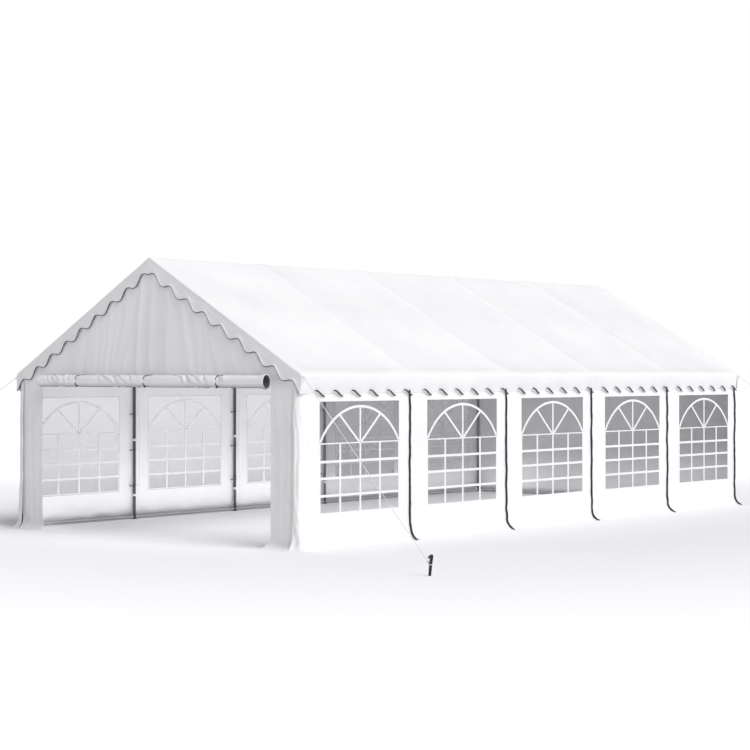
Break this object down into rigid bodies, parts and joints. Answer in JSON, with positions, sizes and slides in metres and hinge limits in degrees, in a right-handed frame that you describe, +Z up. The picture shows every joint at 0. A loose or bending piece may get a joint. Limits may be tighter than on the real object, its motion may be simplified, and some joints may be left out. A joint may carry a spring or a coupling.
{
  "type": "marquee tent",
  "caption": "White sheet-covered party marquee with a gable roof, open front, rolled-up door, arched window walls, steel frame and guy ropes.",
  "frame": {"origin": "on the ground under the middle of the tent", "axes": "+Z up, +Y along the tent from the open front gable to the back, +X to the right for someone facing the open front from outside"},
  "size_m": [10.6602, 12.1646, 3.48],
  "materials": {
    "sheet": "white coated polyester sheet, satin",
    "steel": "dark grey powder-coated steel tube, satin",
    "film": "clear flexible window film, slightly hazy",
    "strap": "white webbing, matt",
    "rope": "white braided cord, matt",
    "lacing": "black elastic lacing cord, matt",
    "peg": "black moulded plastic, matt"
  },
  "bodies": {
    "root": {"back_base_rail": "steel", "back_gable": "sheet", "back_valance": "sheet", "back_wall": "sheet", "door_strap_1": "strap", "door_strap_2": "strap", "door_strap_3": "strap", "front_gable": "sheet", "front_strip_left": "sheet", "front_strip_right": "sheet", "front_valance": "sheet", "ground_flap_left": "sheet", "ground_flap_right": "sheet", "guy_rope_back_left": "rope", "guy_rope_back_right": "rope", "guy_rope_front_left": "rope", "guy_rope_front_right": "rope", "left_base_rail": "steel", "left_eave_pole": "steel", "left_purlin": "steel", "peg_back_left": "peg", "peg_back_right": "peg", "peg_front_left": "peg", "peg_front_right": "peg", "portal_1": "steel", "portal_2": "steel", "portal_3": "steel", "portal_4": "steel", "portal_5": "steel", "portal_6": "steel", "ridge_pole": "steel", "right_base_rail": "steel", "right_eave_pole": "steel", "right_purlin": "steel", "rolled_door": "sheet", "roof_cover": "sheet", "side_wall_left_1": "sheet", "side_wall_left_2": "sheet", "side_wall_left_3": "sheet", "side_wall_left_4": "sheet", "side_wall_left_5": "sheet", "side_wall_right_1": "sheet", "side_wall_right_2": "sheet", "side_wall_right_3": "sheet", "side_wall_right_4": "sheet", "side_wall_right_5": "sheet", "window_left_1": "film", "window_left_2": "film", "window_left_3": "film", "window_left_4": "film", "window_left_5": "film", "window_right_1": "film", "window_right_2": "film", "window_right_3": "film", "window_right_4": "film", "window_right_5": "film"}
  },
  "joints": []
}
